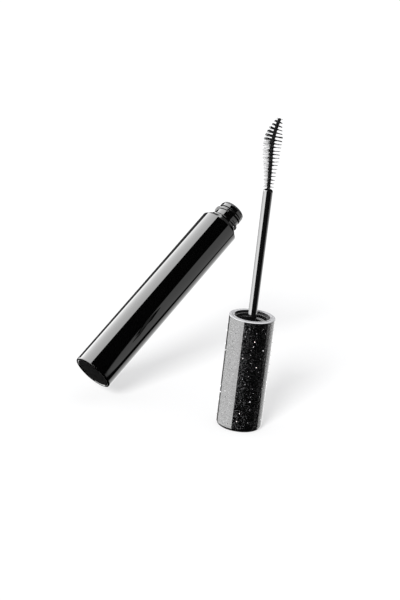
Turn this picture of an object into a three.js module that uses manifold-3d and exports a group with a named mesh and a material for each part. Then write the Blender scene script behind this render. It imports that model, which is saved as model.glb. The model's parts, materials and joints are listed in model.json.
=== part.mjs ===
// Mascara: a threaded bottle and a screw cap that carries a wand with a twisted-wire brush.
// Millimetres, +Z up. The cap stands on its closed end at the origin with the wand upright.
// The open bottle leans beside it, its mouth up.

import * as THREE from 'three';
import { mergeVertices } from 'three/addons/utils/BufferGeometryUtils.js';
import Module from 'manifold-3d';

const wasm = await Module();
wasm.setup();

const TURN = 2 * Math.PI;
const DEGREE = Math.PI / 180;
const X_AXIS = new THREE.Vector3(1, 0, 0);
const Z_AXIS = new THREE.Vector3(0, 0, 1);

// ---------- driving dimensions ----------

const BIG_FACETS = 60;
const SMALL_FACETS = 36;

// cap: a clear shell over a glitter sleeve, closed at the bottom
const CAP_RADIUS = 8.85;
const CAP_LENGTH = 44.75;
const CAP_EDGE_ROUND = 1.1;
const CAP_FLOOR = 2.0;
const SHELL_BORE = 7.45;
const SHELL_LIP_ROUND = 0.25;
const SLEEVE_OUTER = 7.4;
const SLEEVE_BORE = 6.93;
const SLEEVE_FOOT_GAP = 0.1;

// threaded insert inside the cap
const INSERT_RADIUS = 6.85;
const INSERT_BORE = 6.2;
const INSERT_RECESS = 1.0;
const INSERT_WEB = 2.0;
const SOCKET_RADIUS = 3.1;
const SOCKET_LENGTH = 9.0;
const SOCKET_GAP = 0.08;

// sealing washer, clamped between the bottle's mouth and the insert when closed
const WASHER_THICKNESS = 1.0;
const WASHER_RADIUS = 5.3;
const WASHER_HOLE = 1.83;
const WASHER_GAP = 0.1;

// wand
const STEM_RADIUS = 1.66;
const STEM_TIP_RADIUS = 1.82;
const STEM_REACH = 49.7;
const STEM_ROOT_DEPTH = 19.0;
const STEM_TIP_ROUND = 0.9;
const STEM_TIP_LENGTH = 6.0;
const BRUSH_REACH = 76.1;
const WIRE_RADIUS = 0.62;
const WIRE_SOCKET_RADIUS = 0.74;
const WIRE_SOCKET_DEPTH = 7.0;
const WIRE_SOCKET_GAP = 0.2;
const WIRE_STRAIGHT_END = 1.0;
const WIRE_CURVE_POINTS = 8;
const BRUSH_BOW = 0.85;
const BRUSH_BOW_SKEW = 1.9;
const BRUSH_TIP_SWAY = 0.9;
const BRISTLE_RADIUS = 3.25;
const BRISTLE_ROOT = 0.76;
const BRISTLE_PITCH = 2.6;
const BRISTLE_THICKNESS = 0.3;
const BRISTLE_END_SHARE = 0.55;
const BRISTLE_FIRST = 0.03;
const BRISTLE_LAST = 0.98;
const BRISTLE_STEPS_PER_TURN = 14;

// bottle
const BOTTLE_RADIUS = 8.3;
const BODY_LENGTH = 82.85;
const SHOULDER_WIDTH = 1.5;
const SHOULDER_HEIGHT = 1.7;
const CASING_WALL = 0.8;
const CASING_TOP = 1.5;
const BASE_EDGE_ROUND = 0.3;
const PLUG_THICKNESS = 1.6;
const PLUG_RECESS = 0.25;
const PLUG_GAP = 0.12;
const VIAL_RADIUS = 7.24;
const VIAL_WALL = 0.9;
const VIAL_FLOOR = 1.0;
const VIAL_SHOULDER_WALL = 1.0;
const VIAL_SHOULDER_CONE = 2.0;
const VIAL_GAP = 0.3;

// neck, above the flat ledge of the shoulder
const NECK_RADIUS = 5.3;
const NECK_BORE = 4.35;
const NECK_HEIGHT = 7.7;
const COLLAR_RADIUS = 6.1;
const COLLAR_HEIGHT = 0.9;
const COLLAR_CONE_TOP = 1.6;
const COLLAR_GAP = 0.12;
const RIM_BAND_RADIUS = 5.35;
const RIM_EDGE = 0.35;
const GROOVE_RADIUS = 4.95;
const GROOVE_LEVEL = 5.7;
const GROOVE_FLOOR_HALF = 0.08;
const GROOVE_MOUTH_HALF = 0.28;

// wiper, a soft plug pressed into the mouth
const WIPER_FLANGE_RADIUS = 4.95;
const WIPER_FLANGE = 0.5;
const WIPER_RADIUS = 4.2;
const WIPER_WALL = 0.7;
const WIPER_LENGTH = 12.0;
const WIPER_CONE = 4.0;
const WIPER_HOLE = 2.15;
const WIPER_GAP = 0.1;

// mascara left on the vial's wall around the brush
const FILL_BORE = 4.7;
const FILL_LENGTH = 52.0;
const FILL_FLOOR = 1.5;
const FILL_GAP = 0.1;

// screw thread, right-handed
const THREAD_PITCH = 2.8;
const THREAD_TURNS = 1.1;
const THREAD_CREST = 6.0;
const THREAD_BASE_WIDTH = 1.3;
const THREAD_CREST_WIDTH = 0.6;
const THREAD_START_HEIGHT = 2.2;
const THREAD_START_DEG = -45;
const INSERT_THREAD_TURNS = 0.75;
const INSERT_THREAD_CREST = 5.55;
const INSERT_THREAD_BASE_WIDTH = 1.0;
const INSERT_THREAD_CREST_WIDTH = 0.5;
const THREAD_ROOT_DEPTH = 0.45;
const THREAD_SEGMENTS = 48;
const THREAD_FADE = 0.12;
const THREAD_END_HEIGHT = 0.15;

// layout: where the open bottle leans, and how it closes
const BOTTLE_BASE = new THREE.Vector3(-59.2, 9.09, 10.8);
const BOTTLE_DIRECTION = new THREE.Vector3(0.5185, 0.5731, 0.6346).normalize();
const CLOSED_LEDGE_GAP = 0.4;
const MOUTH_ABOVE_TIP = 3.0;

// heights that follow from the dimensions
const LEDGE = BODY_LENGTH + SHOULDER_HEIGHT;
const MOUTH = LEDGE + NECK_HEIGHT + WIPER_GAP + WIPER_FLANGE;
const CAP_SEAT = CAP_LENGTH + CLOSED_LEDGE_GAP - (MOUTH - LEDGE);
const INSERT_CEILING = CAP_SEAT - WASHER_THICKNESS - 2 * WASHER_GAP;
const INSERT_TOP = CAP_LENGTH - INSERT_RECESS;
const STEM_END = CAP_LENGTH + STEM_REACH;
const BRUSH_TIP = CAP_LENGTH + BRUSH_REACH;

// ---------- helpers ----------

/** A solid of revolution about Z from an outline of [radius, height] points. */
function turned(outline, facets) {
  const points = outline.map(([radius, height]) => new THREE.Vector2(radius, height));
  return new THREE.LatheGeometry(points, facets).rotateX(Math.PI / 2);
}

/** A closed ring outline: the first point again at the end. */
function ring(outline) {
  return [...outline, outline[0]];
}

/** Points of a quarter circle about a centre, from one angle to another, in degrees. */
function arc(centreRadius, centreHeight, radius, fromDeg, toDeg, steps = 4) {
  const points = [];
  for (let i = 0; i <= steps; i += 1) {
    const angle = (fromDeg + ((toDeg - fromDeg) * i) / steps) * DEGREE;
    points.push([centreRadius + radius * Math.cos(angle), centreHeight + radius * Math.sin(angle)]);
  }
  return points;
}

function toSolid(geometry) {
  const bare = geometry.clone();
  bare.deleteAttribute('normal');
  bare.deleteAttribute('uv');
  const merged = mergeVertices(bare, 1e-5);
  const vertProperties = new Float32Array(merged.attributes.position.array);
  const triVerts = new Uint32Array(merged.index.array);
  return new wasm.Manifold(new wasm.Mesh({ numProp: 3, vertProperties, triVerts }));
}

function toGeometry(solid) {
  const mesh = solid.getMesh();
  const geometry = new THREE.BufferGeometry();
  geometry.setAttribute('position', new THREE.BufferAttribute(mesh.vertProperties, 3));
  geometry.setIndex(new THREE.BufferAttribute(mesh.triVerts, 1));
  geometry.computeVertexNormals();
  return geometry;
}

/** A ridge along a right-handed helix about Z that rises to its full height and fades out again. */
function helicalRidge({ root, crest, baseWidth, crestWidth, pitch, turns, startAngle, startHeight }) {
  const ridge = new THREE.BoxGeometry(1, 1, 1, 1, 1, THREAD_SEGMENTS);
  const position = ridge.attributes.position;
  for (let i = 0; i < position.count; i += 1) {
    const outward = position.getX(i) + 0.5;
    const across = position.getY(i);
    const along = position.getZ(i) + 0.5;
    const fade = Math.min(1, along / THREAD_FADE, (1 - along) / THREAD_FADE);
    const height = THREE.MathUtils.lerp(THREAD_END_HEIGHT, 1, Math.max(0, fade));
    const radius = root + (crest - root) * outward * height;
    const width = THREE.MathUtils.lerp(baseWidth, crestWidth, outward) * height;
    const angle = startAngle + along * turns * TURN;
    const level = startHeight + along * turns * pitch - across * width;
    position.setXYZ(i, radius * Math.cos(angle), radius * Math.sin(angle), level);
  }
  return ridge;
}

/** The bottle's swing from beside the wand to upside down over it, as one turn about one axis. */
function closingTurn() {
  const mouth = BOTTLE_BASE.clone().addScaledVector(BOTTLE_DIRECTION, MOUTH);
  const target = new THREE.Vector3(0, 0, BRUSH_TIP + MOUTH_ABOVE_TIP);
  const down = Z_AXIS.clone().negate();
  const axis = BOTTLE_DIRECTION.clone().add(Z_AXIS).cross(target.clone().sub(mouth)).normalize();
  const from = BOTTLE_DIRECTION.clone().projectOnPlane(axis);
  const to = down.projectOnPlane(axis);
  const short = Math.atan2(from.clone().cross(to).dot(axis), from.dot(to));
  const angle = short < 0 ? short + TURN : short;
  const half = target.clone().sub(mouth).multiplyScalar(0.5);
  const lift = axis.clone().cross(half).multiplyScalar(1 / Math.tan(angle / 2));
  const centre = mouth.clone().add(half).add(lift);
  return { axis, angle, centre };
}

function material(color, roughness, metalness = 0) {
  return new THREE.MeshStandardMaterial({ color, roughness, metalness });
}

function named(name, geometry, surface) {
  const mesh = new THREE.Mesh(geometry, surface);
  mesh.name = name;
  return mesh;
}

// ---------- cap ----------

function capShell() {
  const lip = SHELL_LIP_ROUND;
  return turned([
    [0, 0],
    ...arc(CAP_RADIUS - CAP_EDGE_ROUND, CAP_EDGE_ROUND, CAP_EDGE_ROUND, -90, 0, 5),
    ...arc(CAP_RADIUS - lip, CAP_LENGTH - lip, lip, 0, 90, 2),
    ...arc(SHELL_BORE + lip, CAP_LENGTH - lip, lip, 90, 180, 2),
    [SHELL_BORE, CAP_FLOOR],
    [0, CAP_FLOOR],
  ], BIG_FACETS);
}

function glitterSleeve() {
  const foot = CAP_FLOOR + SLEEVE_FOOT_GAP;
  return turned(ring([
    [SLEEVE_BORE, foot],
    [SLEEVE_OUTER, foot],
    [SLEEVE_OUTER, CAP_LENGTH],
    [SLEEVE_BORE, CAP_LENGTH],
  ]), BIG_FACETS);
}

function threadedInsert(phase) {
  const webFoot = INSERT_CEILING - INSERT_WEB;
  const stemHole = STEM_RADIUS + SOCKET_GAP;
  const body = turned(ring([
    [stemHole, webFoot - SOCKET_LENGTH],
    [SOCKET_RADIUS, webFoot - SOCKET_LENGTH],
    [SOCKET_RADIUS, webFoot],
    [INSERT_RADIUS, webFoot],
    [INSERT_RADIUS, INSERT_TOP],
    [INSERT_BORE, INSERT_TOP],
    [INSERT_BORE, INSERT_CEILING],
    [stemHole, INSERT_CEILING],
  ]), BIG_FACETS);
  const thread = helicalRidge({
    root: INSERT_BORE + THREAD_ROOT_DEPTH,
    crest: INSERT_THREAD_CREST,
    baseWidth: -INSERT_THREAD_BASE_WIDTH,
    crestWidth: -INSERT_THREAD_CREST_WIDTH,
    pitch: THREAD_PITCH,
    turns: INSERT_THREAD_TURNS,
    startAngle: phase.angle,
    startHeight: phase.height,
  });
  return toGeometry(toSolid(body).add(toSolid(thread)));
}

function sealingWasher() {
  const foot = INSERT_CEILING + WASHER_GAP;
  return turned(ring([
    [WASHER_HOLE, foot],
    [WASHER_RADIUS, foot],
    [WASHER_RADIUS, foot + WASHER_THICKNESS],
    [WASHER_HOLE, foot + WASHER_THICKNESS],
  ]), SMALL_FACETS);
}

// ---------- wand ----------

function stem() {
  const socketFloor = STEM_END - WIRE_SOCKET_DEPTH;
  return turned([
    [0, CAP_LENGTH - STEM_ROOT_DEPTH],
    [STEM_RADIUS, CAP_LENGTH - STEM_ROOT_DEPTH],
    [STEM_RADIUS, CAP_LENGTH],
    [STEM_TIP_RADIUS, STEM_END - STEM_TIP_LENGTH],
    ...arc(STEM_TIP_RADIUS - STEM_TIP_ROUND, STEM_END - STEM_TIP_ROUND, STEM_TIP_ROUND, 0, 90, 4),
    [WIRE_SOCKET_RADIUS, STEM_END],
    [WIRE_SOCKET_RADIUS, socketFloor],
    [0, socketFloor],
  ], SMALL_FACETS);
}

/** How far the brush's centre line stands off the wand's axis, by its share of the brush's length. */
function brushOffset(share) {
  const bow = BRUSH_BOW * Math.sin(Math.PI * share ** BRUSH_BOW_SKEW);
  const sway = BRUSH_TIP_SWAY * share ** 3;
  return sway - bow;
}

function brushPoint(share) {
  const height = THREE.MathUtils.lerp(STEM_END, BRUSH_TIP, share);
  return new THREE.Vector3(brushOffset(share), 0, height);
}

function brushWire() {
  const root = STEM_END - WIRE_SOCKET_DEPTH + WIRE_SOCKET_GAP;
  const points = [new THREE.Vector3(0, 0, root)];
  points.push(new THREE.Vector3(0, 0, STEM_END - WIRE_STRAIGHT_END));
  for (let i = 1; i <= WIRE_CURVE_POINTS; i += 1) {
    points.push(brushPoint(i / WIRE_CURVE_POINTS));
  }
  const path = new THREE.CatmullRomCurve3(points);
  const section = new THREE.Shape();
  section.absarc(0, 0, WIRE_RADIUS, 0, TURN);
  const options = { steps: 26, curveSegments: 8, extrudePath: path, bevelEnabled: false };
  return new THREE.ExtrudeGeometry(section, options);
}

/** One left-handed helical fin around the wire, full in the middle and shorter at both ends. */
function bristles() {
  const turns = ((BRISTLE_LAST - BRISTLE_FIRST) * (BRUSH_TIP - STEM_END)) / BRISTLE_PITCH;
  const steps = Math.round(turns * BRISTLE_STEPS_PER_TURN);
  const fin = new THREE.BoxGeometry(1, 1, 1, 1, 1, steps);
  const position = fin.attributes.position;
  for (let i = 0; i < position.count; i += 1) {
    const along = position.getZ(i) + 0.5;
    const share = THREE.MathUtils.lerp(BRISTLE_FIRST, BRISTLE_LAST, along);
    const fullness = THREE.MathUtils.lerp(BRISTLE_END_SHARE, 1, Math.sin(Math.PI * along) ** 0.6);
    const reach = BRISTLE_RADIUS * fullness;
    const radius = THREE.MathUtils.lerp(BRISTLE_ROOT, reach, position.getX(i) + 0.5);
    const angle = -along * turns * TURN;
    const centre = brushPoint(share);
    const level = centre.z + position.getY(i) * BRISTLE_THICKNESS;
    position.setXYZ(i, centre.x + radius * Math.cos(angle), radius * Math.sin(angle), level);
  }
  return fin;
}

// ---------- bottle, in its own frame with its base at the origin and its neck up ----------

function outerCasing() {
  const inner = BOTTLE_RADIUS - CASING_WALL;
  const hole = COLLAR_RADIUS + COLLAR_GAP;
  return turned(ring([
    [inner, 0],
    ...arc(BOTTLE_RADIUS - BASE_EDGE_ROUND, BASE_EDGE_ROUND, BASE_EDGE_ROUND, -90, 0, 2),
    [BOTTLE_RADIUS, BODY_LENGTH],
    [BOTTLE_RADIUS - SHOULDER_WIDTH, LEDGE],
    [hole, LEDGE],
    [hole, LEDGE - CASING_TOP],
    [inner, LEDGE - CASING_TOP],
  ]), BIG_FACETS);
}

function basePlug() {
  const radius = BOTTLE_RADIUS - CASING_WALL - PLUG_GAP;
  return turned([
    [0, PLUG_RECESS],
    [radius, PLUG_RECESS],
    [radius, PLUG_RECESS + PLUG_THICKNESS],
    [0, PLUG_RECESS + PLUG_THICKNESS],
  ], BIG_FACETS);
}

const VIAL_FOOT = PLUG_RECESS + PLUG_THICKNESS + VIAL_GAP;
const VIAL_SHOULDER = LEDGE - CASING_TOP - VIAL_GAP;

function innerVial() {
  const inner = VIAL_RADIUS - VIAL_WALL;
  const top = LEDGE + NECK_HEIGHT;
  const groove = LEDGE + GROOVE_LEVEL;
  const body = turned([
    [0, VIAL_FOOT],
    [VIAL_RADIUS, VIAL_FOOT],
    [VIAL_RADIUS, VIAL_SHOULDER],
    [COLLAR_RADIUS, VIAL_SHOULDER],
    [COLLAR_RADIUS, LEDGE + COLLAR_HEIGHT],
    [NECK_RADIUS, LEDGE + COLLAR_CONE_TOP],
    [NECK_RADIUS, groove - GROOVE_MOUTH_HALF],
    [GROOVE_RADIUS, groove - GROOVE_FLOOR_HALF],
    [GROOVE_RADIUS, groove + GROOVE_FLOOR_HALF],
    [RIM_BAND_RADIUS, groove + GROOVE_MOUTH_HALF],
    [RIM_BAND_RADIUS, top - RIM_EDGE],
    [RIM_BAND_RADIUS - RIM_EDGE, top],
    [NECK_BORE, top],
    [NECK_BORE, VIAL_SHOULDER - VIAL_SHOULDER_WALL],
    [inner, VIAL_SHOULDER - VIAL_SHOULDER_WALL - VIAL_SHOULDER_CONE],
    [inner, VIAL_FOOT + VIAL_FLOOR],
    [0, VIAL_FOOT + VIAL_FLOOR],
  ], BIG_FACETS);
  const thread = helicalRidge({
    root: NECK_RADIUS - THREAD_ROOT_DEPTH,
    crest: THREAD_CREST,
    baseWidth: THREAD_BASE_WIDTH,
    crestWidth: THREAD_CREST_WIDTH,
    pitch: THREAD_PITCH,
    turns: THREAD_TURNS,
    startAngle: THREAD_START_DEG * DEGREE,
    startHeight: LEDGE + THREAD_START_HEIGHT,
  });
  return toGeometry(toSolid(body).add(toSolid(thread)));
}

function wiper() {
  const top = MOUTH;
  const foot = top - WIPER_LENGTH;
  const bore = WIPER_RADIUS - WIPER_WALL;
  return turned(ring([
    [WIPER_FLANGE_RADIUS, top - WIPER_FLANGE],
    [WIPER_FLANGE_RADIUS, top],
    [bore, top],
    [bore, foot + WIPER_CONE],
    [WIPER_HOLE, foot],
    [WIPER_HOLE + WIPER_WALL, foot],
    [WIPER_RADIUS, foot + WIPER_CONE],
    [WIPER_RADIUS, top - WIPER_FLANGE],
  ]), SMALL_FACETS);
}

function mascaraFill() {
  const foot = VIAL_FOOT + VIAL_FLOOR + FILL_GAP;
  const outer = VIAL_RADIUS - VIAL_WALL - FILL_GAP;
  const floor = foot + FILL_FLOOR;
  return turned([
    [0, foot],
    [outer, foot],
    [outer, foot + FILL_LENGTH],
    [FILL_BORE, foot + FILL_LENGTH],
    [FILL_BORE, floor],
    [0, floor],
  ], SMALL_FACETS);
}

/** Where the insert's thread starts so that it lies midway between the bottle's ridges when closed. */
function insertThreadPhase() {
  const { axis, angle } = closingTurn();
  const lean = new THREE.Quaternion().setFromUnitVectors(Z_AXIS, BOTTLE_DIRECTION);
  const swing = new THREE.Quaternion().setFromAxisAngle(axis, angle);
  const seam = X_AXIS.clone().applyQuaternion(lean).applyQuaternion(swing);
  const seamAngle = Math.atan2(seam.y, seam.x);
  const endAngle = THREAD_START_DEG * DEGREE + THREAD_TURNS * TURN;
  const endHeight = THREAD_START_HEIGHT + (THREAD_TURNS - 0.5) * THREAD_PITCH;
  return {
    angle: seamAngle - endAngle,
    height: CAP_LENGTH + CLOSED_LEDGE_GAP - endHeight,
  };
}

// ---------- assembly ----------

const GLOSS_BLACK = 0x0b0b0c;

const cap = new THREE.Group();
cap.add(
  named('cap_shell', capShell(), material(0x1c1c1e, 0.12)),
  named('glitter_sleeve', glitterSleeve(), material(0x8c8c90, 0.35, 0.4)),
);

const wand = new THREE.Group();
wand.add(
  named('threaded_insert', threadedInsert(insertThreadPhase()), material(GLOSS_BLACK, 0.35)),
  named('sealing_washer', sealingWasher(), material(0xe8e8e6, 0.7)),
  named('stem', stem(), material(GLOSS_BLACK, 0.15)),
  named('brush_wire', brushWire(), material(0x2a2a2c, 0.35, 0.9)),
  named('bristles', bristles(), material(0x26262a, 0.6)),
);

const bottle = new THREE.Group();
bottle.position.copy(BOTTLE_BASE);
bottle.quaternion.setFromUnitVectors(Z_AXIS, BOTTLE_DIRECTION);
bottle.add(
  named('outer_casing', outerCasing(), material(GLOSS_BLACK, 0.08)),
  named('base_plug', basePlug(), material(0x101011, 0.5)),
  named('inner_vial', innerVial(), material(GLOSS_BLACK, 0.15)),
  named('wiper', wiper(), material(0x18181a, 0.55)),
  named('mascara_fill', mascaraFill(), material(0x060606, 0.4)),
);

const mascara = new THREE.Group();
mascara.add(cap, wand, bottle);
mascara.userData.bottleSwing = closingTurn();

export default mascara;
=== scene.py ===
"""The looks of an open mascara: the cap stands with its wand upright and the bottle leans beside it.

Metres, +Z up, the same frame as the CAD. Lengths named here are in millimetres unless they say otherwise.
"""
import json
import math
import random

import bpy
import numpy as np
from mathutils import Matrix, Vector


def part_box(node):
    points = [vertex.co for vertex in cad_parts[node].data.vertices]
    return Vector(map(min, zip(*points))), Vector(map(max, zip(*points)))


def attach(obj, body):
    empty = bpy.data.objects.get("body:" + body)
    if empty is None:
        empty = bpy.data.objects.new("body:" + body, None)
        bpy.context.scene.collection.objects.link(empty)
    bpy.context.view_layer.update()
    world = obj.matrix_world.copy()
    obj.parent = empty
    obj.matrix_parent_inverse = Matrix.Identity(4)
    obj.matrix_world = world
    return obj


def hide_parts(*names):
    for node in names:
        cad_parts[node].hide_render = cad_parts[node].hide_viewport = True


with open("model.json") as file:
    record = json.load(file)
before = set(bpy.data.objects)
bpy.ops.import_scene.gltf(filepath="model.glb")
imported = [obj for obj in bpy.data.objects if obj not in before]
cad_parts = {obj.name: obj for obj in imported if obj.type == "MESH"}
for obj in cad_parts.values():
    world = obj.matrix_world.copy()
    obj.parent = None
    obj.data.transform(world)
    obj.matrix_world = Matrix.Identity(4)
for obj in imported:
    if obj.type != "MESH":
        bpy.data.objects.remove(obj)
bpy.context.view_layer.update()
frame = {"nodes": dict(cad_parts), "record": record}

MM = 0.001
TAU = 2 * math.pi
Z_AXIS = Vector((0, 0, 1))

# ---------- mesh fineness ----------
SEGMENTS = 192
EDGE_ROUND = 0.1
EDGE_ROUND_THIN_WALL = 0.05
EDGE_ROUND_SMALL = 0.08
EDGE_ROUND_LARGE = 0.2
EDGE_MOST_OF_SIDE = 0.45
STRAIGHT_TURN = math.radians(0.5)
SMOOTH_TURN = math.radians(35)
ARC_STEP = math.radians(12)
SUPPORT = 0.06
SUPPORT_MIN_LENGTH = 0.5
SAME = 0.004
SAME_AZIMUTH = 0.01
RING_MIN_POINTS = 12
THREAD_STEP = 0.06

# ---------- screw threads ----------
THREAD_BASE_HALF = 0.66
THREAD_CREST_HALF = 0.26
THREAD_CREST_BAND = 0.03
THREAD_RUN_OUT = 0.5

# ---------- painted shade on the groove under the neck's rim ---
GROOVE_REACH = 4.0
GROOVE_LEAST_RADIUS = 4.5
GROOVE_SIDE = 0.16

# ---------- cream in the vial ----------
CREAM_EDGE = 0.3
CREAM_STEP = 0.5
CREAM_SEGMENTS = 96
CREAM_AT_WALL = 0.4
CREAM_LEAST_RADIUS = 1.0
CREAM_LEAST_HEIGHT = 1.0
CREAM_WAVE = 0.12

# ---------- brush ----------
CENTRE_LINE_DEGREE = 5
BEND_STARTS_WITHIN = 1.0
TWIST_PITCH = -2.74
STRAND_SIDES = 12
STRAND_STEP = 0.1
STRAND_FULLNESS = 1.14
STRAND_OFFSET = 0.92
STRAND_END_RADII = (0.55, 0.88)
FILAMENTS_PER_ARM_TURN = 34
FILAMENT_REACH = 3.6
FILAMENT_ROOT = 0.13
FILAMENT_TIP = 0.026
FILAMENT_SIDES = 4
FILAMENT_RINGS = 7
WIRE_END_BARE = 0.25
SLOPE_HALF_LENGTH = 0.3
STEM_END_CREAM = 0.25

# Shares of the brush's length, from the stem's end to the tip.
REACH_AT_STEM = 0.56
REACH_FULL_FROM = 0.6
REACH_AT_TIP = 0.36
REACH_FALLS_OVER = 0.36
REACH_LEAST_FROM = 1.05
CLUMPS_FROM = 0.6
CLUMPS_RISE_OVER = 0.14
ROOT_CREAM_FROM = -0.15
ROOT_CREAM_RISES_OVER = 0.4

# Cream on the bristles: ROOT_CREAM is a radius, the tapers are powers and the rest are shares.
ROOT_CREAM = 0.1
ROOT_CREAM_FULL_TO = 0.15
ROOT_CREAM_FADES_OVER = 0.25
TIP_CREAM = 0.5
CLEAN_TAPER = 4
CLUMPED_TAPER_LESS = 2.6
TUFT_PHASE = 0.5
TUFT_DRAW = 0.65

# Spreads of the random draws for each bristle.
SHARE_JITTER = 0.4
TURN_SPREAD = 0.12
ROOT_SPREAD = 0.04
LEAN_SPREAD = 0.03
REACH_RANGE = (0.93, 1.0)
SIDE_BEND_SPREAD = 0.1
LONG_BEND_SPREAD = 0.06

# ---------- cap ----------
RIM_DEPTH = 0.24
WALL_SKIN = 0.4
FACES_UP = 0.5

# ---------- glitter ----------
FLAKES = 1700
SPARKLES = 270
SPARKLE_TILT = (math.radians(28), math.radians(70))
SPARKLE_RISE = 0.14
SPARKLE_RADIUS = (0.17, 0.28)
FLAKE_RADIUS = (0.03, 0.06)
FLAKE_THICKNESS = 0.012
FLAKE_PROUD = 0.002
FLAKE_SIDES = 6
FLAKES_ABOVE_BASE = 1.2
FLAKES_BELOW_RIM = 0.5
FLAKE_TURN_SPREAD = 0.05
FLAKE_TILT_SPREAD = 0.35
FLAKE_LEAN_SPREAD = 0.14
# One over the plastic number and over its square: steps that spread points evenly over a surface.
EVEN_TURN = 0.7548776662
EVEN_RISE = 0.5698402910
GLITTER_CELLS = 5.5
GLITTER_LEAN = 1.3
GLITTER_BRIGHT_SHARE = 0.45
GLITTER_SHADE = 0.024
GLITTER_BLACK = 0.0012

# ---------- camera ----------
CAMERA_ELEVATION = math.radians(17.19)
CAMERA_ROLL = math.radians(6.588)
CAMERA_DISTANCE = 570.8
CAMERA_LENS = 90.0
CAMERA_NEAR_METRES = 0.01
AIM_LEFT_OF_WAND = 20.49
AIM_ABOVE_CAP = 3.8

# ---------- studio ----------
# Only the cap's inside shows in the gloss of other pieces, as if the cap and the bottle had been lit apart.
SHOWN_IN_GLOSS = ("threaded_insert", "sealing_washer")
FLOOR_SIZE_METRES = 8.0
FLOOR_COLOR = (0.3, 0.3, 0.3, 1)
FLOOR_GLOW = 0.5
FILL_LIGHT = 0.93
SUN_STRENGTH = 6.2
SUN_ANGLE = math.radians(20)
SUN_ELEVATION = math.radians(27)
SUN_AZIMUTH = math.radians(-110)

# How bright glossy surfaces see each light. A pair is a softbox's back and front, or a glow's left and right.
SOFTBOX_ABOVE = (9.5, 8.6)
SOFTBOX_BELOW = (2.0, 9.8)
GAP_LEVEL = 0.16
PANEL_LEVEL = 0.3
TABLE_LEVEL = 1.8
STRIP_LEVEL = 1.25
STRIP_CORNER_POWER = 2.5
MOUTH_GLOW = (3.2, 0.15)

# ---------- materials ----------
# The Mix node's colour sockets, by number: they share their names with its other sockets.
MIX_COLOR_INPUTS = (6, 7)
MIX_COLOR_OUTPUT = 2
TRACE_OF_BLUE = 1.02

random.seed(7)


# ---------- reading the frame ----------

def mount(name):
    return next(m for m in frame["record"]["mounts"] if m["name"] == name)


class Axis:
    """The axis of turned pieces. Heights run along it from its origin."""

    def __init__(self, origin, direction):
        turn = Z_AXIS.rotation_difference(Vector(direction))
        self.direction = Vector(direction).normalized()
        self.matrix = Matrix.Translation(origin) @ turn.to_matrix().to_4x4()

    def polar(self, node):
        """Each vertex of a CAD node as radius, height (mm) and azimuth (radians)."""
        inverse = np.array(self.matrix.inverted())
        points = np.array([v.co for v in frame["nodes"][node].data.vertices])
        local = (points @ inverse[:3, :3].T + inverse[:3, 3]) / MM
        radius = np.hypot(local[:, 0], local[:, 1])
        return np.column_stack([radius, local[:, 2], np.arctan2(local[:, 1], local[:, 0])])


WAND = Axis(mount("cap_end")["pos_m"], -Vector(mount("cap_end")["axis"]))
BOTTLE = Axis(mount("bottle_base")["pos_m"], -Vector(mount("bottle_base")["axis"]))


def rings_of(node, axis):
    """The rings of a turned CAD node, and the ring that each vertex is on (-1 on a thread)."""
    polar = axis.polar(node)
    ring_at = np.full(len(polar), -1)
    rings = []
    waiting = np.ones(len(polar), bool)
    while waiting.any():
        first = polar[np.argmax(waiting)]
        close = waiting & (np.abs(polar[:, :2] - first[:2]) < SAME).all(1)
        waiting &= ~close
        on_axis = first[0] < SAME
        if on_axis or len(set(np.round(polar[close, 2], 2))) >= RING_MIN_POINTS:
            ring_at[close] = len(rings)
            rings.append((0.0 if on_axis else float(first[0]), float(first[1])))
    return polar, rings, ring_at


def outline_of(node, axis):
    """A turned CAD node's outline as ordered (radius, height) points, and whether it closes on itself."""
    polar, rings, ring_at = rings_of(node, axis)
    links = {i: set() for i in range(len(rings))}
    for edge in frame["nodes"][node].data.edges:
        a, b = edge.vertices
        ring_a, ring_b = ring_at[a], ring_at[b]
        if min(ring_a, ring_b) < 0 or ring_a == ring_b:
            continue
        along = math.remainder(polar[a, 2] - polar[b, 2], TAU)
        if abs(along) < SAME_AZIMUTH or min(polar[a, 0], polar[b, 0]) < SAME:
            links[ring_a].add(ring_b)
            links[ring_b].add(ring_a)
    axis_ends = [i for i, (radius, _) in enumerate(rings) if radius == 0]
    cut = [i for i in links if len(links[i]) == 1 and i not in axis_ends]
    if len(cut) == 2:
        links[cut[0]].add(cut[1])
        links[cut[1]].add(cut[0])
    path = [axis_ends[0] if axis_ends else 0]
    while True:
        onward = [i for i in sorted(links[path[-1]]) if i not in path]
        if not onward:
            break
        path.append(onward[0])
    points = [rings[i] for i in path]
    if signed_area(points) < 0:
        points.reverse()
    return points, not axis_ends


def signed_area(points):
    ahead = points[1:] + points[:1]
    return sum(a[0] * b[1] - b[0] * a[1] for a, b in zip(points, ahead)) / 2


# ---------- outlines ----------

def rounded_corner(before, corner, after, edge):
    """The points that replace a corner: a small round on a sharp edge, a smooth curve on a faceted one."""
    back = before - corner
    ahead = after - corner
    room = min(back.length, ahead.length)
    back.normalize()
    ahead.normalize()
    turn = math.pi - back.angle(ahead)
    if turn < STRAIGHT_TURN:
        return [corner]
    if turn < SMOOTH_TURN:
        reach = room / 2
    else:
        reach = min(edge * math.tan(turn / 2), room * EDGE_MOST_OF_SIDE)
    radius = reach / math.tan(turn / 2)
    centre = corner + (back + ahead).normalized() * (radius / math.cos(turn / 2))
    start = corner + back * reach - centre
    end = corner + ahead * reach - centre
    sweep = math.remainder(math.atan2(end.y, end.x) - math.atan2(start.y, start.x), TAU)
    steps = max(2, math.ceil(turn / ARC_STEP))
    points = []
    for i in range(steps + 1):
        angle = sweep * i / steps
        turned = Vector((
            start.x * math.cos(angle) - start.y * math.sin(angle),
            start.x * math.sin(angle) + start.y * math.cos(angle),
        ))
        points.append(centre + turned)
    return points


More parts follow.
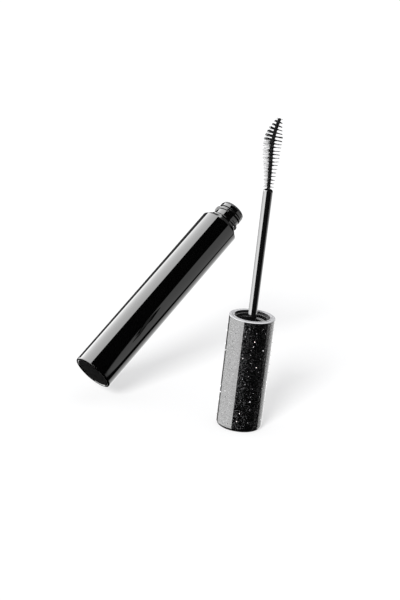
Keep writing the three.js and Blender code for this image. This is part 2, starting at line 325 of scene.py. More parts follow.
def softened(points, closed, edge):
    """The outline with rounded edges, and with support points so that long walls shade straight."""
    corners = [Vector(p) for p in points]
    count = len(corners)
    soft = []
    for i, corner in enumerate(corners):
        if not closed and i in (0, count - 1):
            soft.append(corner)
        else:
            soft += rounded_corner(corners[i - 1], corner, corners[(i + 1) % count], edge)
    result = []
    for i, point in enumerate(soft):
        result.append(point)
        if i == len(soft) - 1 and not closed:
            break
        onward = soft[(i + 1) % len(soft)] - point
        if onward.length > SUPPORT_MIN_LENGTH:
            result.append(point + onward.normalized() * SUPPORT)
            result.append(point + onward - onward.normalized() * SUPPORT)
    return [(max(p.x, 0.0), p.y) for p in result]


def divided(points, closed, step, wanted):
    """The outline with points every step along the stretches that wanted(a, b) picks."""
    result = []
    count = len(points)
    for i, point in enumerate(points):
        result.append(point)
        if i == count - 1 and not closed:
            break
        after = points[(i + 1) % count]
        if not wanted(point, after):
            continue
        pieces = math.ceil(math.dist(point, after) / step)
        for k in range(1, pieces):
            share = k / pieces
            result.append(tuple(np.array(point) * (1 - share) + np.array(after) * share))
    return result


# ---------- meshes ----------

def new_piece(name, vertices, faces, axis, body, node, materials):
    """A piece from vertices in millimetres in the axis's own frame. It rides on body and stands for node."""
    mesh = bpy.data.meshes.new(name)
    mesh.from_pydata([Vector(v) * MM for v in vertices], [], faces)
    mesh.shade_smooth()
    mesh.update()
    piece = bpy.data.objects.new(name, mesh)
    bpy.context.scene.collection.objects.link(piece)
    piece.matrix_world = axis.matrix
    for material in materials:
        mesh.materials.append(material)
    piece.visible_glossy = node in SHOWN_IN_GLOSS
    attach(piece, body)
    if node:
        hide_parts(node)
    return piece


def turned_mesh(points, closed, shape=None, segments=SEGMENTS):
    """Vertices and faces of an outline turned about the axis.

    shape(angle, radius, height) gives a point its radius.
    """
    vertices = []
    rings = []
    for radius, height in points:
        first = len(vertices)
        if radius < SAME:
            vertices.append((0.0, 0.0, height))
            rings.append([first])
            continue
        for k in range(segments):
            angle = TAU * k / segments
            r = shape(angle, radius, height) if shape else radius
            vertices.append((r * math.cos(angle), r * math.sin(angle), height))
        rings.append(list(range(first, first + segments)))
    pairs = list(zip(rings, rings[1:]))
    if closed:
        pairs.append((rings[-1], rings[0]))
    faces = []
    for lower, upper in pairs:
        for k in range(segments):
            corners = (
                lower[k % len(lower)],
                lower[(k + 1) % len(lower)],
                upper[(k + 1) % len(upper)],
                upper[k % len(upper)],
            )
            face = tuple(dict.fromkeys(corners))
            if len(face) > 2:
                faces.append(face)
    return vertices, faces


def turned_piece(name, node, axis, body, materials, edge=EDGE_ROUND):
    points, closed = outline_of(node, axis)
    vertices, faces = turned_mesh(softened(points, closed, edge), closed)
    return new_piece(name, vertices, faces, axis, body, node, materials)


def smoothstep(value):
    share = min(1.0, max(0.0, value))
    return share * share * (3 - 2 * share)


def thread_pitch():
    """The cap rises by one pitch a turn; the record's coupling states the turn per metre."""
    coupling = frame["record"]["behaviour"]["couplings"][0]
    return TAU / abs(coupling["ratio"]) / MM


def thread_shape(node, axis, wall):
    """shape() for turned_mesh: a screw ridge on the wall, where the CAD node has its own."""
    polar, _, ring_at = rings_of(node, axis)
    ridge = polar[ring_at < 0]
    outward = ridge[:, 0].max() - wall > wall - ridge[:, 0].min()
    crest = ridge[:, 0].max() if outward else ridge[:, 0].min()
    top_edge = ridge[np.abs(ridge[:, 0] - crest) < THREAD_CREST_BAND]
    pitch = thread_pitch()
    phases = top_edge[:, 2] - TAU * top_edge[:, 1] / pitch
    phase = math.atan2(np.sin(phases).mean(), np.cos(phases).mean())
    low, high = top_edge[:, 1].min(), top_edge[:, 1].max()

    def bump(angle, height):
        best = 0.0
        level = pitch * (angle - phase) / TAU
        level += pitch * math.floor((low - level) / pitch)
        while level < high + pitch:
            ends = min(level - low, high - level) / THREAD_RUN_OUT + 0.5
            side = (THREAD_BASE_HALF - abs(height - level)) / (THREAD_BASE_HALF - THREAD_CREST_HALF)
            best = max(best, smoothstep(ends) * smoothstep(side))
            level += pitch
        return best

    def shape(angle, radius, height):
        if abs(radius - wall) > SAME:
            return radius
        return radius + (crest - wall) * bump(angle, height)

    return shape


def threaded_piece(name, node, axis, body, materials, edge):
    """A turned piece whose longest threaded wall carries a screw ridge."""
    points, closed = outline_of(node, axis)
    polar, _, ring_at = rings_of(node, axis)
    ridge = polar[ring_at < 0]
    middle = (ridge[:, 1].min() + ridge[:, 1].max()) / 2
    walls = [
        a[0] for a, b in zip(points, points[1:] + points[:1])
        if abs(a[0] - b[0]) < SAME and min(a[1], b[1]) < middle < max(a[1], b[1])
    ]
    wall = min(walls, key=lambda radius: abs(radius - np.median(ridge[:, 0])))

    def on_wall(a, b):
        return abs(a[0] - wall) < SAME and abs(b[0] - wall) < SAME and abs(a[1] - b[1]) > THREAD_STEP

    outline = divided(softened(points, closed, edge), closed, THREAD_STEP, on_wall)
    vertices, faces = turned_mesh(outline, closed, thread_shape(node, axis, wall))
    return new_piece(name, vertices, faces, axis, body, node, materials)


def tube(centres, radii, sides, across):
    """Vertices and faces of a closed tube through the centres. across is a direction not along the tube."""
    vertices = []
    faces = []
    count = len(centres)
    for i, centre in enumerate(centres):
        forward = (centres[min(i + 1, count - 1)] - centres[max(i - 1, 0)]).normalized()
        side = across.cross(forward).normalized()
        up = forward.cross(side)
        for k in range(sides):
            angle = TAU * k / sides
            vertices.append(centre + (side * math.cos(angle) + up * math.sin(angle)) * radii[i])
    for i in range(count - 1):
        for k in range(sides):
            here = i * sides + k
            beside = i * sides + (k + 1) % sides
            faces.append((here, beside, beside + sides, here + sides))
    faces.append(tuple(reversed(range(sides))))
    faces.append(tuple(range((count - 1) * sides, count * sides)))
    return vertices, faces


def joined(parts):
    """Several (vertices, faces) as one."""
    vertices = []
    faces = []
    for part_vertices, part_faces in parts:
        first = len(vertices)
        vertices += part_vertices
        faces += [tuple(first + i for i in face) for face in part_faces]
    return vertices, faces


# ---------- node graphs ----------

class Graph:
    """Short forms for building a node tree."""

    def __init__(self, tree):
        self.tree = tree

    def add(self, kind, inputs=None, **settings):
        node = self.tree.nodes.new(kind)
        for name, value in settings.items():
            setattr(node, name, value)
        for key, value in (inputs or {}).items():
            self.feed(node.inputs[key], value)
        return node

    def feed(self, socket, value):
        if isinstance(value, bpy.types.NodeSocket):
            self.tree.links.new(value, socket)
        else:
            socket.default_value = value

    def math(self, operation, a, b=0.0):
        return self.add("ShaderNodeMath", {0: a, 1: b}, operation=operation).outputs[0]

    def dot(self, a, b):
        return self.add("ShaderNodeVectorMath", {0: a, 1: b}, operation="DOT_PRODUCT").outputs["Value"]

    def spread(self, value, low, high, to_low=0.0, to_high=1.0, smooth=False):
        kind = "SMOOTHSTEP" if smooth else "LINEAR"
        inputs = {"Value": value, "From Min": low, "From Max": high, "To Min": to_low, "To Max": to_high}
        return self.add("ShaderNodeMapRange", inputs, interpolation_type=kind).outputs["Result"]

    def window(self, value, low, high, soft):
        """1 between low and high, 0 outside, over a soft edge."""
        rise = self.spread(value, low - soft, low + soft, smooth=True)
        fall = self.spread(value, high - soft, high + soft, 1.0, 0.0, smooth=True)
        return self.times(rise, fall)

    def mix(self, share, a, b):
        node = self.add("ShaderNodeMix", data_type="RGBA")
        self.feed(node.inputs["Factor"], share)
        for socket, color in zip(MIX_COLOR_INPUTS, (a, b)):
            self.feed(node.inputs[socket], color)
        return node.outputs[MIX_COLOR_OUTPUT]

    def times(self, *values):
        product = values[0]
        for value in values[1:]:
            product = self.math("MULTIPLY", product, value)
        return product


class Paint(Graph):
    """A procedural material. Its texture coordinates are millimetres in the piece's own frame."""

    def __init__(self, name, **inputs):
        self.material = bpy.data.materials.new(name)
        self.material.use_nodes = True
        super().__init__(self.material.node_tree)
        self.shader = self.tree.nodes["Principled BSDF"]
        place = self.add("ShaderNodeTexCoord").outputs["Object"]
        scale = (1 / MM, 1 / MM, 1 / MM)
        self.place = self.add("ShaderNodeMapping", {"Vector": place, "Scale": scale}).outputs["Vector"]
        for key, value in inputs.items():
            self.feed(self.shader.inputs[key.replace("_", " ")], value)

    def noise(self, scale, detail=3.0, stretch=(1, 1, 1)):
        place = self.add("ShaderNodeMapping", {"Vector": self.place, "Scale": stretch}).outputs["Vector"]
        inputs = {"Vector": place, "Scale": scale, "Detail": detail}
        return self.add("ShaderNodeTexNoise", inputs).outputs["Fac"]

    def cells(self, scale, output="Color"):
        return self.add("ShaderNodeTexVoronoi", {"Vector": self.place, "Scale": scale}).outputs[output]

    def bump(self, height, distance):
        """distance is the relief in mm."""
        return self.add("ShaderNodeBump", {"Height": height, "Distance": distance * MM}).outputs["Normal"]

    def set(self, name, value):
        self.feed(self.shader.inputs[name], value)


def grey(value):
    return (value, value, value * TRACE_OF_BLUE, 1)


def gloss_black(name, shade, low, high, ior=1.5):
    """Moulded black plastic: faint polish marks and dust in the gloss, over a nearly flat mould surface."""
    paint = Paint(name, IOR=ior)
    smears = paint.noise(0.35, 5.0)
    dust = paint.spread(paint.noise(9.0, 1.0), 0.68, 0.78, smooth=True)
    paint.set("Base Color", paint.mix(paint.times(dust, 0.35), grey(shade), grey(shade + 0.02)))
    rough = paint.spread(smears, 0.35, 0.7, low, high)
    paint.set("Roughness", paint.math("ADD", rough, paint.times(dust, 0.05)))
    paint.set("Normal", paint.bump(paint.noise(1.1, 2.0), 0.0006))
    return paint.material


def satin_plastic(name, shade, roughness, grain, relief):
    """Spark-eroded plastic: an even fine grain with a slight change in sheen."""
    paint = Paint(name)
    fine = paint.noise(grain, 4.0)
    wide = paint.noise(0.5, 3.0)
    paint.set("Base Color", paint.mix(fine, grey(shade * 0.7), grey(shade * 1.3)))
    paint.set("Roughness", paint.spread(wide, 0.3, 0.7, roughness - 0.06, roughness + 0.06))
    paint.set("Normal", paint.bump(fine, relief))
    paint.set("Specular IOR Level", 0.25)
    return paint.material


def foam(name):
    """Closed-cell foam with open pores on its cut face."""
    paint = Paint(name, Roughness=0.85)
    pores = paint.cells(7.0, "Distance")
    paint.set("Base Color", paint.mix(pores, grey(0.62), grey(0.88)))
    paint.set("Normal", paint.bump(pores, 0.04))
    return paint.material


def twisted_steel(name):
    """Drawn wire with fine lines along it and traces of black cream in the grooves."""
    paint = Paint(name)
    lines = paint.noise(6.0, 3.0, stretch=(1, 1, 0.15))
    traces = paint.spread(paint.noise(1.3, 3.0), 0.28, 0.42, smooth=True)
    paint.set("Base Color", paint.mix(traces, grey(0.02), grey(0.003)))
    paint.set("Metallic", paint.spread(traces, 0.0, 1.0, 0.5, 0.0))
    paint.set("Specular IOR Level", 0.02)
    paint.set("Roughness", paint.spread(lines, 0.3, 0.7, 0.25, 0.5))
    paint.set("Normal", paint.bump(lines, 0.01))
    return paint.material


def nylon(name):
    """Black nylon filament, nearly matt with cream and a little glossier in patches."""
    paint = Paint(name)
    patches = paint.noise(1.6, 2.0)
    paint.set("Base Color", paint.mix(patches, grey(0.002), grey(0.006)))
    paint.set("Specular IOR Level", paint.spread(patches, 0.4, 0.7, 0.0, 0.03))
    paint.set("Roughness", paint.spread(patches, 0.3, 0.7, 0.35, 0.6))
    return paint.material


def wet_cream(name):
    """Thick black cream: glossy, with soft folds."""
    paint = Paint(name)
    folds = paint.noise(0.8, 4.0)
    paint.set("Base Color", paint.mix(folds, grey(0.002), grey(0.006)))
    paint.set("Roughness", paint.spread(folds, 0.3, 0.7, 0.12, 0.35))
    paint.set("Normal", paint.bump(folds, 0.15))
    return paint.material


def dry_cream_and_painted_shade(name):
    """Dried black cream: matt and crumbly. In the neck's groove the same skin is painted shade."""
    paint = Paint(name, Roughness=0.9)
    crumbs = paint.noise(4.0, 3.0)
    paint.set("Base Color", paint.mix(crumbs, grey(0.0015), grey(0.004)))
    paint.set("Specular IOR Level", 0.0)
    paint.set("Normal", paint.bump(crumbs, 0.02))
    return paint.material


def glitter_wall(name):
    """Fine glitter in black under a smooth clear wall: each speck has its own tilt, and few are bright."""
    paint = Paint(name, Coat_Weight=1.0, Coat_Roughness=0.02, Coat_IOR=1.5)
    speck = paint.cells(GLITTER_CELLS)
    middle = (0.5, 0.5, 0.5)
    tilt = paint.add("ShaderNodeVectorMath", {0: speck, 1: middle}, operation="SUBTRACT").outputs[0]
    lean = paint.add("ShaderNodeVectorMath", {0: tilt}, operation="SCALE")
    lean.inputs["Scale"].default_value = GLITTER_LEAN
    normal = paint.add("ShaderNodeNewGeometry").outputs["Normal"]
    leaned = paint.add("ShaderNodeVectorMath", {0: normal, 1: lean.outputs[0]}, operation="ADD").outputs[0]
    unit = paint.add("ShaderNodeVectorMath", {0: leaned}, operation="NORMALIZE").outputs[0]
    pick = paint.add("ShaderNodeTexWhiteNoise", {"Vector": speck}).outputs["Value"]
    bright = paint.spread(pick, 1 - GLITTER_BRIGHT_SHARE, 1 - GLITTER_BRIGHT_SHARE * 0.9)
    # Painted shade: the bright specks fade to plain black where the wall turns edge-on to the view.
    facing = paint.add("ShaderNodeLayerWeight", {"Blend": 0.5}).outputs["Facing"]
    bright = paint.times(bright, paint.spread(facing, 0.55, 0.9, 1.0, 0.0))
    paint.set("Base Color", paint.mix(bright, grey(GLITTER_BLACK), grey(GLITTER_SHADE)))
    paint.set("Metallic", bright)
    paint.set("Specular IOR Level", 0.0)
    paint.set("Roughness", 0.3)
    paint.set("Normal", unit)
    paint.set("Coat Normal", normal)
    return paint.material


def clear_rim_painted_light(name):
    """The cut end of the clear wall: polished, with faint turning lines. Its light grey is painted light, the
    light that a clear edge catches.
    """
    paint = Paint(name)
    lines = paint.noise(5.0, 2.0, stretch=(1, 1, 0.2))
    paint.set("Base Color", paint.mix(lines, grey(0.27), grey(0.33)))
    paint.set("Specular IOR Level", 0.15)
    paint.set("Roughness", paint.spread(lines, 0.3, 0.7, 0.3, 0.4))
    return paint.material


def flake_metal(name, low, high):
    """Aluminised glitter flakes with slightly uneven brightness."""
    paint = Paint(name, Metallic=1.0)
    patches = paint.noise(3.0, 1.0)
    paint.set("Base Color", paint.mix(patches, grey(low), grey(high)))
    paint.set("Roughness", paint.spread(patches, 0.3, 0.7, 0.1, 0.2))
    return paint.material


# ---------- bottle ----------

def build_bottle():
    casing = gloss_black("casing_gloss", 0.0004, 0.012, 0.03)
    turned_piece("bottle_casing", "outer_casing", BOTTLE, "bottle", [casing])
    plug = satin_plastic("plug_satin", 0.001, 0.35, 9.0, 0.001)
    turned_piece("bottle_base_plug", "base_plug", BOTTLE, "bottle", [plug])
    neck = gloss_black("neck_gloss", 0.0006, 0.02, 0.05)
    # The second skin is painted shade: matt black on the groove under the rim.
    groove_shade = dry_cream_and_painted_shade("painted_shade_in_groove")
    skins = [neck, groove_shade]
    vial = threaded_piece(
        "bottle_neck_and_vial", "inner_vial", BOTTLE, "bottle", skins, edge=EDGE_ROUND_SMALL
    )
    paint_groove_shade(vial)
    soft = satin_plastic("wiper_soft", 0.02, 0.5, 5.0, 0.01)
    turned_piece("bottle_wiper", "wiper", BOTTLE, "bottle", [soft], edge=EDGE_ROUND_SMALL)
    build_cream()


def paint_groove_shade(vial):
    """Painted shade under the rim: the second material, matt black, on the groove between the rim band and
    the wall.
    """
    points, _ = outline_of("inner_vial", BOTTLE)
    top = max(height for _, height in points)
    band = [p for p in points if top - GROOVE_REACH < p[1] < top - SAME]
    floor = min(p[0] for p in band if p[0] > GROOVE_LEAST_RADIUS)
    levels = [p[1] for p in band if abs(p[0] - floor) < SAME]
    low, high = min(levels) - GROOVE_SIDE, max(levels) + GROOVE_SIDE
    for polygon in vial.data.polygons:
        centre = polygon.center / MM
        outside = math.hypot(centre.x, centre.y) > floor - SAME
        polygon.material_index = int(outside and low < centre.z < high)


def build_cream():
    """Cream left on the vial's wall, its inner face scraped in uneven waves by the brush."""
    points, closed = outline_of("mascara_fill", BOTTLE)
    outer = max(radius for radius, _ in points)

    def scraped(angle, radius, height):
        if radius > outer - CREAM_AT_WALL or radius < CREAM_LEAST_RADIUS:
            return radius
        wave = math.sin(3 * angle + 0.9 * height) + 0.6 * math.sin(5 * angle - 1.7 * height)
        return radius + CREAM_WAVE * wave

    def inner_wall(a, b):
        upright = abs(a[0] - b[0]) < SAME and abs(a[1] - b[1]) > CREAM_LEAST_HEIGHT
        return upright and a[0] < outer - CREAM_AT_WALL

    outline = divided(softened(points, closed, CREAM_EDGE), closed, CREAM_STEP, inner_wall)
    vertices, faces = turned_mesh(outline, closed, scraped, segments=CREAM_SEGMENTS)
    cream = wet_cream("mascara_cream")
    new_piece("mascara_left_in_vial", vertices, faces, BOTTLE, "bottle", "mascara_fill", [cream])


# ---------- cap ----------

def build_cap():
    glitter = glitter_wall("glitter_under_clear_wall")
    rim = clear_rim_painted_light("clear_wall_end_painted_light")
    skins = [glitter, rim]
    shell = turned_piece("cap_clear_shell", "cap_shell", WAND, "outer_cap", skins, edge=EDGE_ROUND_LARGE)
    low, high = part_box("cap_shell")
    # The top end and the inner wall take the second skin, whose light grey is painted light.
    for polygon in shell.data.polygons:
        radius = math.hypot(polygon.center.x, polygon.center.y)
        above = polygon.center.z > high.z - RIM_DEPTH * MM
        inside = radius < high.x - WALL_SKIN * MM and polygon.normal.z > -FACES_UP
        polygon.material_index = int(above or inside)
    insert = gloss_black("insert_black", 0.003, 0.2, 0.32)
    skins = [insert, rim]
    sleeve = turned_piece(
        "cap_glitter_sleeve", "glitter_sleeve", WAND, "outer_cap", skins, edge=EDGE_ROUND_THIN_WALL
    )
    # Faces looking up take the rim's light grey, painted light.
    for polygon in sleeve.data.polygons:
        polygon.material_index = int(polygon.normal.z > FACES_UP)
    skins = [insert]
    threaded_piece(
        "cap_threaded_insert", "threaded_insert", WAND, "applicator", skins, edge=EDGE_ROUND_SMALL
    )
    skins = [foam("washer_foam")]
    turned_piece("cap_sealing_washer", "sealing_washer", WAND, "washer", skins, edge=EDGE_ROUND_SMALL)
    build_flakes(low, high)


def flake(centre, normal, radius, thickness):
    """A hexagonal flake as a thin closed prism."""
    across = normal.orthogonal().normalized()
    beside = normal.cross(across)
    spin = random.uniform(0, TAU)
    angles = [spin + TAU * k / FLAKE_SIDES for k in range(FLAKE_SIDES)]
    rim = [across * math.cos(angle) + beside * math.sin(angle) for angle in angles]
    bottom = [centre + d * radius - normal * thickness / 2 for d in rim]
    top = [centre + d * radius + normal * thickness / 2 for d in rim]
    faces = [tuple(reversed(range(FLAKE_SIDES))), tuple(range(FLAKE_SIDES, 2 * FLAKE_SIDES))]
    for k in range(FLAKE_SIDES):
        after = (k + 1) % FLAKE_SIDES
        faces.append((k, after, after + FLAKE_SIDES, k + FLAKE_SIDES))
    return bottom + top, faces


def build_flakes(low, high):
    """Fine flakes that lie nearly flat on the wall, and sparkles: larger flakes that stand up out of it."""
    wall = high.x / MM
    bottom = low.z / MM + FLAKES_ABOVE_BASE
    top = high.z / MM - FLAKES_BELOW_RIM
    parts = []
    for i in range(FLAKES + SPARKLES):
        sparkle = i >= FLAKES
        angle = TAU * ((i * EVEN_TURN) % 1) + random.gauss(0, FLAKE_TURN_SPREAD)
        height = bottom + (top - bottom) * ((i * EVEN_RISE) % 1)
        outward = Vector((math.cos(angle), math.sin(angle), 0))
        if sparkle:
            tilt = random.choice((-1, 1)) * random.uniform(*SPARKLE_TILT)
        else:
            tilt = random.gauss(0, FLAKE_TILT_SPREAD)
        lean = Vector((-math.sin(angle), math.cos(angle), 0)) * math.sin(tilt)
        lean += Z_AXIS * random.gauss(0, FLAKE_LEAN_SPREAD)
        normal = (outward * math.cos(tilt) + lean).normalized()
        radius = random.uniform(*(SPARKLE_RADIUS if sparkle else FLAKE_RADIUS))
        if sparkle:
            radius = min(radius, SPARKLE_RISE / math.sin(abs(tilt)))
        centre = outward * (wall + FLAKE_PROUD) + Z_AXIS * height
        parts.append(flake(centre, normal, radius, FLAKE_THICKNESS))
    vertices, faces = joined(parts)
    metals = [
        flake_metal("glitter_fine", 0.02, 0.06),
        flake_metal("glitter_large", 0.3, 0.6),
    ]
    name = "cap_glitter_flakes"
    piece = new_piece(name, vertices, faces, WAND, "outer_cap", None, metals)
    piece.data.shade_flat()
    faces_a_flake = len(faces) // len(parts)
    for polygon in piece.data.polygons:
        polygon.material_index = int(polygon.index >= FLAKES * faces_a_flake)


# ---------- wand ----------

def brush_centre_line():
    """A function from height to the brush's centre, fitted to the CAD wire above the stem."""
    points = np.array([v.co for v in frame["nodes"]["brush_wire"].data.vertices]) / MM
    tip_of_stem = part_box("stem")[1].z / MM
    above = points[points[:, 2] > tip_of_stem]
    fit = np.polyfit(above[:, 2] - tip_of_stem, above[:, :2], CENTRE_LINE_DEGREE)

    def centre(height):
        past_stem = height - tip_of_stem
        x = float(np.polyval(fit[:, 0], past_stem))
        y = float(np.polyval(fit[:, 1], past_stem))
        bent = smoothstep(past_stem / BEND_STARTS_WITHIN)
        return Vector((x * bent, y * bent, height))

    return centre


def build_wire(centre):
    """Two strands twisted about each other."""
    least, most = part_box("brush_wire")
    low = least.z / MM
    high = most.z / MM
    strand = (most.y - least.y) / MM / 4 * STRAND_FULLNESS
    steps = round((high - low) / STRAND_STEP)
    parts = []
    for side in (0, math.pi):
        middles = []
        for i in range(steps + 1):
            height = low + (high - low) * i / steps
            angle = TAU * height / TWIST_PITCH + side
            off = Vector((math.cos(angle), math.sin(angle), 0)) * strand * STRAND_OFFSET
            middles.append(centre(height) + off)
        radii = [strand] * (steps + 1)
        for i, share in enumerate(STRAND_END_RADII):
            radii[i] = strand * share
            radii[-1 - i] = strand * share
        parts.append(tube(middles, radii, STRAND_SIDES, Vector((1, 0, 0))))
    vertices, faces = joined(parts)
    steel = twisted_steel("brush_wire_steel")
    new_piece("brush_twisted_wire", vertices, faces, WAND, "applicator", "brush_wire", [steel])


def filament_reach(share):
    """How far the bristles stand out at a share of the brush's length: less at both ends."""
    rise = smoothstep(share / REACH_FULL_FROM)
    fall = smoothstep((REACH_LEAST_FROM - share) / REACH_FALLS_OVER)
    below = REACH_AT_STEM + (1 - REACH_AT_STEM) * rise
    above = REACH_AT_TIP + (1 - REACH_AT_TIP) * fall
    return FILAMENT_REACH * below * above


def clumping(share):
    """How much cream binds the bristles: little below, much towards the tip."""
    return smoothstep((share - CLUMPS_FROM) / CLUMPS_RISE_OVER)


def gathered(height, clumped):
    """A height drawn towards the nearest tuft. Cream gathers each arm into one tuft every half turn."""
    step = abs(TWIST_PITCH) / 2
    nearest = (round(height / step - TUFT_PHASE) + TUFT_PHASE) * step
    return height + (nearest - height) * clumped * TUFT_DRAW


def filament_radius(share, part, clumped):
    """A filament's radius at a part of its own length: thickest at the root, where cream adds to it."""
    taper = (1 - part) ** (CLEAN_TAPER - CLUMPED_TAPER_LESS * clumped)
    tip = FILAMENT_TIP * (1 + TIP_CREAM * clumped)
    along_brush = smoothstep((share - ROOT_CREAM_FROM) / ROOT_CREAM_RISES_OVER)
    along_filament = 1 - smoothstep((part - ROOT_CREAM_FULL_TO) / ROOT_CREAM_FADES_OVER)
    root_cream = ROOT_CREAM * along_brush * along_filament
    return tip + (FILAMENT_ROOT - FILAMENT_TIP) * taper + root_cream


def build_bristles(centre):
    """Filaments held between the strands: two arms that follow the wire's twist."""
    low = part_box("bristles")[0].z / MM
    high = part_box("brush_wire")[1].z / MM - WIRE_END_BARE
    turns = (high - low) / abs(TWIST_PITCH)
    count = round(turns * FILAMENTS_PER_ARM_TURN)
    parts = []
    for i in range(count):
        share = (i + random.uniform(-SHARE_JITTER, SHARE_JITTER)) / count
        clumped = clumping(share)
        height = gathered(low + (high - low) * share, clumped)
        for side in (0, math.pi):
            angle = TAU * height / TWIST_PITCH + math.pi / 2 + side + random.gauss(0, TURN_SPREAD)
            root = centre(height + random.gauss(0, ROOT_SPREAD))
            along = centre(height + SLOPE_HALF_LENGTH) - centre(height - SLOPE_HALF_LENGTH)
            along.normalize()
            across = Vector((math.cos(angle), math.sin(angle), 0))
            lean = along * random.gauss(0.0, LEAN_SPREAD)
            out = (across - along * across.dot(along) + lean).normalized()
            reach = filament_reach(share) * random.uniform(*REACH_RANGE)
            bend = along.cross(out) * random.gauss(0, SIDE_BEND_SPREAD)
            bend += along * random.gauss(0, LONG_BEND_SPREAD)
            middles = []
            radii = []
            for k in range(FILAMENT_RINGS):
                part = k / (FILAMENT_RINGS - 1)
                middles.append(root + out * (reach * part) + bend * part * part)
                radii.append(filament_radius(share, part, clumped))
            parts.append(tube(middles, radii, FILAMENT_SIDES, along))
    vertices, faces = joined(parts)
    new_piece("brush_bristles", vertices, faces, WAND, "applicator", "bristles", [nylon("bristle_nylon")])


def build_wand():
    gloss = gloss_black("stem_gloss", 0.002, 0.05, 0.1, ior=1.7)
    dried = dry_cream_and_painted_shade("dry_cream_on_stem")
    stem = turned_piece("wand_stem", "stem", WAND, "stem", [gloss, dried], edge=EDGE_ROUND_LARGE)
    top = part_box("stem")[1].z - STEM_END_CREAM * MM
    for polygon in stem.data.polygons:
        polygon.material_index = int(polygon.center.z > top)
    centre = brush_centre_line()
    build_wire(centre)
    build_bristles(centre)


# ---------- studio ----------

def build_camera():
    aim = Vector((-AIM_LEFT_OF_WAND, 0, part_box("cap_shell")[1].z / MM + AIM_ABOVE_CAP)) * MM
    back = Vector((0, -math.cos(CAMERA_ELEVATION), math.sin(CAMERA_ELEVATION)))
    camera = bpy.data.objects.new("camera", bpy.data.cameras.new("camera"))
    camera.data.lens = CAMERA_LENS
    camera.data.clip_start = CAMERA_NEAR_METRES
    camera.rotation_mode = "QUATERNION"
    level = (-back).to_track_quat("-Z", "Y")
    camera.rotation_quaternion = level @ Matrix.Rotation(CAMERA_ROLL, 3, "Z").to_quaternion()
    camera.location = aim + back * CAMERA_DISTANCE * MM
    bpy.context.scene.collection.objects.link(camera)
    bpy.context.scene.camera = camera
    return camera


def build_floor():
    mesh = bpy.data.meshes.new("floor")
    half = FLOOR_SIZE_METRES / 2
    corners = [(-half, -half, 0), (half, -half, 0), (half, half, 0), (-half, half, 0)]
    mesh.from_pydata(corners, [], [(0, 1, 2, 3)])
    floor = bpy.data.objects.new("floor", mesh)
    bpy.context.scene.collection.objects.link(floor)
    paint = Paint("floor_paper", Base_Color=FLOOR_COLOR, Roughness=0.9, Emission_Color=(1, 1, 1, 1))
    paint.set("Specular IOR Level", 0.0)
    paint.set("Emission Strength", FLOOR_GLOW)
    mesh.materials.append(paint.material)
    floor.visible_glossy = False


def build_sun():
    """A large soft light low in front, a little to the left. It casts the shadows and isn't seen in gloss."""
    data = bpy.data.lights.new("soft_key", "SUN")
    data.energy = SUN_STRENGTH
    data.angle = SUN_ANGLE
    sun = bpy.data.objects.new("soft_key", data)
    towards = Vector((
        math.cos(SUN_AZIMUTH) * math.cos(SUN_ELEVATION),
        math.sin(SUN_AZIMUTH) * math.cos(SUN_ELEVATION),
        math.sin(SUN_ELEVATION),
    ))
    sun.rotation_mode = "QUATERNION"
    sun.rotation_quaternion = towards.to_track_quat("Z", "Y")
    sun.visible_glossy = False
    bpy.context.scene.collection.objects.link(sun)


def softbox_glow(graph, azimuth, elevation):
    """A large softbox over the whole left side. Low down it is much weaker towards the back.

    azimuth is 0 straight to the left and grows towards the camera.
    """
    deg = math.radians
    back, front = deg(-52), deg(53)
    outline = graph.window(azimuth, back, front, deg(1.0))
    above = graph.spread(azimuth, back, front, *SOFTBOX_ABOVE)
    below = graph.spread(azimuth, back, deg(23), *SOFTBOX_BELOW)
    rise = graph.spread(elevation, deg(-12), deg(2), smooth=True)
    fall = graph.math("SUBTRACT", 1.0, rise)
    level = graph.math("ADD", graph.times(rise, above), graph.times(fall, below))
    return graph.times(outline, level, low_cut(graph, elevation))


def low_cut(graph, elevation):
    """0 far below the horizon, where no light is seen, and 1 above that."""
    return graph.spread(elevation, math.radians(-36), math.radians(-32), smooth=True)


def strip_glow(graph, around, lengthways, elevation):
    """A dim strip with rounded corners on the right, parallel to the bottle."""
    deg = math.radians
    powers = []
    for place, middle, half in ((around, deg(70), deg(35)), (lengthways, 0.40, 0.115)):
        off = graph.math("DIVIDE", graph.math("SUBTRACT", place, middle), half)
        powers.append(graph.math("POWER", graph.math("ABSOLUTE", off), STRIP_CORNER_POWER))
    oval = graph.math("ADD", *powers)
    outline = graph.spread(oval, 0.9, 1.1, 1.0, 0.0, smooth=True)
    above = graph.spread(elevation, deg(-20), deg(-17), smooth=True)
    return graph.times(outline, above, STRIP_LEVEL)


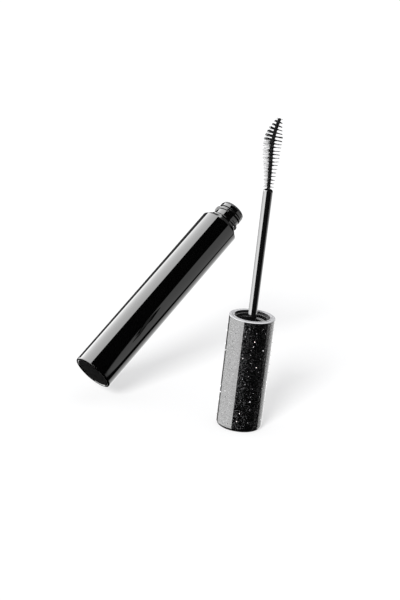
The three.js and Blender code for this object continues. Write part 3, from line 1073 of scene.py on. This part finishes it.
def studio_glow(graph, camera):
    """The radiance that glossy surfaces see in each direction: softboxes and flags round the object."""
    direction = graph.add("ShaderNodeTexCoord").outputs["Generated"]
    axes = graph.add("ShaderNodeSeparateXYZ", {"Vector": direction}).outputs
    opposite = [graph.times(axes[i], -1.0) for i in (0, 1)]
    azimuth = graph.math("ARCTAN2", axes[1], axes[0])
    left_azimuth = graph.math("ARCTAN2", opposite[1], opposite[0])
    elevation = graph.math("ARCSINE", axes[2])
    deg = math.radians

    # the dim gap between the softbox and the table, a thin dark line on each left edge
    gap = graph.window(azimuth, deg(101), deg(128), deg(1))
    gap = graph.times(gap, low_cut(graph, elevation), GAP_LEVEL)

    # panel behind and above
    panel = graph.window(azimuth, deg(72), deg(100), deg(2))
    panel = graph.times(panel, graph.window(elevation, deg(9), deg(36), deg(2)), PANEL_LEVEL)

    # the white table behind, seen at grazing angles
    table = graph.window(azimuth, deg(20), deg(101), deg(1.5))
    table = graph.times(table, graph.window(elevation, deg(-36), deg(-10), deg(3)), TABLE_LEVEL)

    # directions round the bottle: facing is square to it towards the camera, beside is to its right
    along = BOTTLE.direction
    low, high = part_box("outer_casing")
    sight = (Vector(low + high) / 2 - camera.location).normalized()
    facing = -(sight - along * sight.dot(along)).normalized()
    beside = along.cross(facing)
    lengthways = graph.dot(direction, tuple(along))
    sideways = graph.dot(direction, tuple(beside))
    faceways = graph.dot(direction, tuple(facing))
    around = graph.math("ARCTAN2", sideways, faceways)

    # beyond the bottle's mouth: the softbox carries on at the left, and a faint glow fills the rest
    mouth = graph.spread(sideways, -0.2, -0.12, *MOUTH_GLOW, smooth=True)
    mouth = graph.times(mouth, graph.spread(lengthways, 0.62, 0.7, smooth=True))
    mouth = graph.times(mouth, graph.spread(faceways, -0.5, -0.35, smooth=True))

    softbox = softbox_glow(graph, left_azimuth, elevation)
    strip = strip_glow(graph, around, lengthways, elevation)
    total = gap
    for light in (softbox, panel, table, strip, mouth):
        total = graph.math("ADD", total, light)
    return total


def build_world(camera):
    """White for the camera, softboxes for glossy surfaces, an even fill for the rest."""
    world = bpy.data.worlds.new("studio")
    world.use_nodes = True
    world.cycles.sampling_method = "NONE"
    bpy.context.scene.world = world
    graph = Graph(world.node_tree)
    path = graph.add("ShaderNodeLightPath").outputs
    glow = studio_glow(graph, camera)
    seen = graph.mix(path["Is Glossy Ray"], grey(FILL_LIGHT), glow)
    seen = graph.mix(path["Is Camera Ray"], seen, (1, 1, 1, 1))
    graph.feed(world.node_tree.nodes["Background"].inputs["Color"], seen)


build_bottle()
build_cap()
build_wand()
camera = build_camera()
build_floor()
build_sun()
build_world(camera)
bpy.context.scene.view_settings.view_transform = "Standard"
